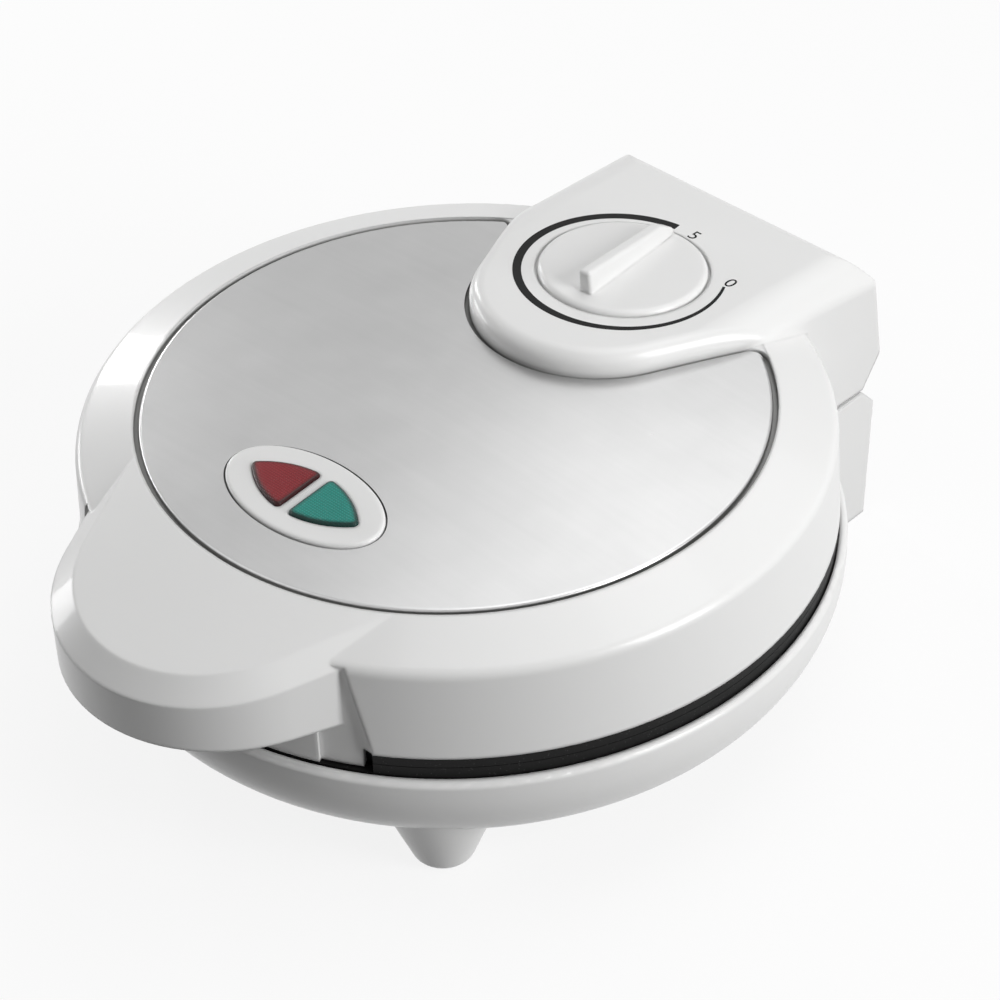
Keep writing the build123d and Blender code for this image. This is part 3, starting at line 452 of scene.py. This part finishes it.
finishes = {
    "white_plastic": makeWhitePlastic("whitePlastic", whitePlasticLook),
    "foot_sleeve": makeWhitePlastic("footSleevePlastic", {**whitePlasticLook, "edge": 0.0}),
    "stainless_steel": makeSteelSheet(steelSheetLook),
    "coated_aluminium": makeNonStick(nonStickLook),
    "zinc_steel": makeZincSheet(zincLook),
    "red_lens": makeLens("redLens", (0.30, 0.010, 0.018), (0.12, 0.003, 0.006), lensLook),
    "green_lens": makeLens("greenLens", (0.015, 0.33, 0.27), (0.004, 0.13, 0.105), lensLook),
    "element_tube": makePlainFinish("scaledTube", plainLook((0.10, 0.095, 0.09), 0.5, 0.9, 0.35)),
    "ceramic": makePlainFinish("bareCeramic", plainLook((0.74, 0.71, 0.64), 0.7, 0.0, 0.12, 0.3)),
    "brass": makePlainFinish("turnedBrass", plainLook((0.70, 0.52, 0.22), 0.3, 1.0)),
    "aluminium": makePlainFinish("drawnAluminium", plainLook((0.66, 0.66, 0.67), 0.35, 1.0)),
    "black_plastic": makePlainFinish("blackPlastic", plainLook((0.02, 0.02, 0.02), 0.45)),
    "lamp_glass": makeLampGlass(lampGlassLook),
    "black_rubber": makePlainFinish("blackRubber", rubberLook),
    "steel": makePlainFinish("zincPlatedSteel", plainLook((0.52, 0.52, 0.52), 0.32, 1.0, 0.15)),
    "dial_print": makePlainFinish("dialInk", inkLook),
}


slotOfNode = {part["node"]: part["material_slot"] for part in frame["record"]["subparts"]}

for name, node in frame["nodes"].items():
    node.data.materials.clear()
    node.data.materials.append(finishes[slotOfNode[name]])
print("finishes made and given to every node")


# print on the dial

dialPrint = {
    "tilt": 4.07,  # degrees the dial leans towards the front
    "faceY": 77.9, "faceZ": 103.4,  # middle of the knob on the dial face, in mm
    "arcY": -1.3,  # the arc's centre from the knob's, along the dial
    "outerRadius": 33.1,
    "startAngle": 28.4, "sweep": 291.1,
    "widths": ((0.0, 0.9), (0.1, 1.3), (0.4, 2.6), (1.0, 3.0)),  # share of the sweep, width
    "steps": 160,
    "lift": 0.04, "thickness": 0.1,
    "marks": (("0", 28.8, 17.1, 4.6), ("5", 3.0, 30.0, 4.6)),  # figure, place on the dial, height
    "fontSize": 1.45,  # against a figure's height
}


def dialMatrix(p):
    turn = Matrix.Rotation(math.radians(-p["tilt"]), 4, "X")
    return Matrix.Translation(Vector((0, p["faceY"], p["faceZ"])) * mm) @ turn


def widthAt(share, steps):
    for (s0, w0), (s1, w1) in zip(steps, steps[1:]):
        if share <= s1:
            return w0 + (w1 - w0) * (share - s0) / (s1 - s0)
    return steps[-1][1]


def meshPiece(name, bm, body, slotName, matrix=None, smooth=False):
    mesh = bpy.data.meshes.new(name)
    bm.to_mesh(mesh)
    bm.free()
    if matrix is not None:
        mesh.transform(matrix)
    for face in mesh.polygons:
        face.use_smooth = smooth
    piece = bpy.data.objects.new(name, mesh)
    bpy.context.scene.collection.objects.link(piece)
    mesh.materials.append(finishes[slotName])
    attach(piece, body)


def makeDialArc(p):
    bm = bmesh.new()
    start, sweep = math.radians(p["startAngle"]), math.radians(p["sweep"])
    # a strip between radius 0.9 and 1 first, then each side goes to its own radius
    ends = [bm.verts.new((r * math.cos(start), r * math.sin(start), 0.0)) for r in (1.0, 0.9)]
    bm.edges.new(ends)
    bmesh.ops.spin(
        bm, geom=ends + bm.edges[:], cent=(0, 0, 0), axis=(0, 0, 1), angle=-sweep, steps=p["steps"]
    )
    for vertex in bm.verts:
        turned = (start - math.atan2(vertex.co.y, vertex.co.x)) % (2 * math.pi)
        share = turned / sweep
        inner = vertex.co.length < 0.95
        radius = p["outerRadius"] - (widthAt(min(share, 1.0), p["widths"]) if inner else 0.0)
        vertex.co = vertex.co.normalized() * radius * mm
        vertex.co.y += p["arcY"] * mm
        vertex.co.z = p["lift"] * mm
    raised = bmesh.ops.extrude_face_region(bm, geom=bm.faces[:])
    for vertex in (v for v in raised["geom"] if isinstance(v, bmesh.types.BMVert)):
        vertex.co.z -= p["thickness"] * mm
    bmesh.ops.recalc_face_normals(bm, faces=bm.faces)
    meshPiece("dial_arc", bm, "lid", "dial_print", dialMatrix(p))


def makeDialMark(p, figure, x, y, height):
    curve = bpy.data.curves.new("mark", "FONT")
    curve.body = figure
    curve.size = height * p["fontSize"] * mm
    curve.align_x = "CENTER"
    curve.align_y = "CENTER"
    curve.extrude = p["thickness"] / 2 * mm
    text = bpy.data.objects.new("mark", curve)
    flat = bpy.data.meshes.new_from_object(text)
    bm = bmesh.new()
    bm.from_mesh(flat)
    bpy.data.objects.remove(text)
    bpy.data.meshes.remove(flat)
    spot = Vector((x, y, p["lift"] - p["thickness"] / 2)) * mm
    matrix = dialMatrix(p) @ Matrix.Translation(spot)
    meshPiece("dial_figure_" + figure, bm, "lid", "dial_print", matrix)


makeDialArc(dialPrint)
for mark in dialPrint["marks"]:
    makeDialMark(dialPrint, *mark)
print("dial printed")


# sleeves of the front feet: each cone, from the rounded tip on up to the round of the bowl

footSleeve = {
    "ring": 92.0, "angle": 39.5,  # distance from the round axis, degrees either side of the front
    "slope": 0.38071, "tipRadius": 8.7,  # the cone widens by slope from its tip
    "bottom": 2.6, "top": 25.5,
    "outside": 0.03, "inside": -1.5,  # offsets from the cone
    "cornerMiddle": (88.5, 46.0), "cornerRadius": 29.0,  # section of the bowl's round corner
    "sunk": 2.0,  # the sleeve ends this far inside the bowl's wall
    "steps": 96, "weld": 0.00001,
    "endFace": 0.55,  # a face that looks up or down more than this is an end, with sharp edges
}


def bowlUnderside(r, p):
    middle, height = p["cornerMiddle"]
    out = max(r - middle, 0.0)
    return height - math.sqrt(p["cornerRadius"] ** 2 - out * out)


def makeFootSleeves(p):
    bm = bmesh.new()
    low, high, outside, inside = p["bottom"], p["top"], p["outside"], p["inside"]
    feet = []
    for side in (-1, 1):
        a = math.radians(p["angle"]) * side
        foot = Vector((p["ring"] * math.sin(a), axisY - p["ring"] * math.cos(a), 0.0))
        feet.append(foot)
        corners = []
        for height, offset in ((low, outside), (high, outside), (high, inside), (low, inside)):
            radius = p["tipRadius"] + p["slope"] * height + offset
            corners.append(bm.verts.new((foot + Vector((radius, 0, height))) * mm))
        edges = [bm.edges.new(pair) for pair in zip(corners, corners[1:] + corners[:1])]
        bmesh.ops.spin(
            bm, geom=corners + edges, cent=foot * mm, axis=(0, 0, 1), angle=2 * math.pi, steps=p["steps"]
        )
    bmesh.ops.remove_doubles(bm, verts=bm.verts, dist=p["weld"])
    for vertex in bm.verts:
        spot = vertex.co / mm
        if spot.z < (low + high) / 2:
            continue
        foot = feet[0 if spot.x < 0 else 1]
        height = bowlUnderside(math.hypot(spot.x, spot.y - axisY), p) + p["sunk"]
        out = (spot - foot).to_2d()
        out = out.normalized() * (out.length - p["slope"] * (high - height))
        vertex.co = Vector((foot.x + out.x, foot.y + out.y, height)) * mm
    bmesh.ops.recalc_face_normals(bm, faces=bm.faces)
    bm.normal_update()
    for face in bm.faces:
        if abs(face.normal.z) > p["endFace"]:
            for edge in face.edges:
                edge.smooth = False
    meshPiece("front_foot_sleeves", bm, "base", "foot_sleeve", smooth=True)


makeFootSleeves(footSleeve)
print("foot sleeves made")


# floor, backdrop and lights

stage = {
    "floorSize": 6.0,
    "glow": 0.86,  # share of pure white in the floor as the camera sees it
    "paint": (0.22, 0.9),  # how pale the paint is for bounced light, and as the camera sees it
    "patchScale": 3.0, "patchRange": (0.2, 0.8), "patchTone": (0.96, 1.0),
    "fill": 0.12,  # strength of the white world, which is 1 where the camera sees it
    "lampAimHeight": 70,
}


def makeStageFinish(s):
    material = bpy.data.materials.new("stagePaint")
    material.use_nodes = True
    tree = material.node_tree
    tree.nodes.clear()
    paint = tree.nodes.new("ShaderNodeBsdfDiffuse")
    spot = tree.nodes.new("ShaderNodeTexCoord").outputs["Object"]
    seen = seenByCamera(tree)
    tone = spread(tree, noise(tree, spot, s["patchScale"]), *s["patchRange"], *s["patchTone"])
    tone = calc(tree, "MULTIPLY", tone, spread(tree, seen, 0.0, 1.0, *s["paint"]))
    plug(tree, grey(tree, tone), paint.inputs["Color"])
    glow = tree.nodes.new("ShaderNodeEmission")
    blend = tree.nodes.new("ShaderNodeMixShader")
    plug(tree, calc(tree, "MULTIPLY", seen, s["glow"]), blend.inputs[0])
    plug(tree, paint.outputs[0], blend.inputs[1])
    plug(tree, glow.outputs[0], blend.inputs[2])
    out = tree.nodes.new("ShaderNodeOutputMaterial")
    plug(tree, blend.outputs[0], out.inputs["Surface"])
    return material


def makeFloor(s):
    bm = bmesh.new()
    bmesh.ops.create_grid(bm, x_segments=1, y_segments=1, size=s["floorSize"])
    mesh = bpy.data.meshes.new("floor")
    bm.to_mesh(mesh)
    bm.free()
    floor = bpy.data.objects.new("floor", mesh)
    bpy.context.scene.collection.objects.link(floor)
    mesh.materials.append(makeStageFinish(s))


def makeWorld(fill):
    world = bpy.data.worlds.new("studio")
    bpy.context.scene.world = world
    world.use_nodes = True
    tree = world.node_tree
    sky = tree.nodes["Background"]
    plug(tree, spread(tree, seenByCamera(tree), 0.0, 1.0, fill, 1.0), sky.inputs["Strength"])
    sky.inputs["Color"].default_value = (1, 1, 1, 1)


# each lamp: direction to it from the cooker's middle, distance and size in metres, watts
lamps = {
    "overhead": {"towards": (0.1, 0.2, 1.0), "distance": 1.5, "size": (1.0, 1.0), "power": 5.2},
    "front_left": {"towards": (-0.5, -0.6, 0.8), "distance": 1.5, "size": (1.0, 1.0), "power": 2.0},
    "right_side": {"towards": (1.0, 0.2, 0.42), "distance": 1.3, "size": (0.5, 0.9), "power": 13.3},
    "behind": {"towards": (-0.1, 0.57, 0.82), "distance": 1.4, "size": (1.2, 1.0), "power": 4.5},
    "left_window": {"towards": (-0.84, 0.26, 0.30), "distance": 1.15, "size": (0.12, 0.45), "power": 2.0},
    "left_low": {"towards": (-0.95, -0.18, 0.13), "distance": 1.15, "size": (0.55, 0.2), "power": 3.2},
}


def makeLamp(name, l):
    data = bpy.data.lights.new(name, "AREA")
    data.shape = "RECTANGLE"
    data.size, data.size_y = l["size"]
    data.energy = l["power"]
    lamp = bpy.data.objects.new(name, data)
    towards = Vector(l["towards"]).normalized()
    aim = Vector((0, axisY, stage["lampAimHeight"])) * mm
    turn = towards.to_track_quat("Z", "Y").to_matrix().to_4x4()
    lamp.matrix_world = Matrix.Translation(aim + towards * l["distance"]) @ turn
    bpy.context.scene.collection.objects.link(lamp)


makeFloor(stage)
makeWorld(stage["fill"])
for name, lamp in lamps.items():
    makeLamp(name, lamp)
bpy.context.scene.view_settings.view_transform = "Standard"
print("stage and lamps set")
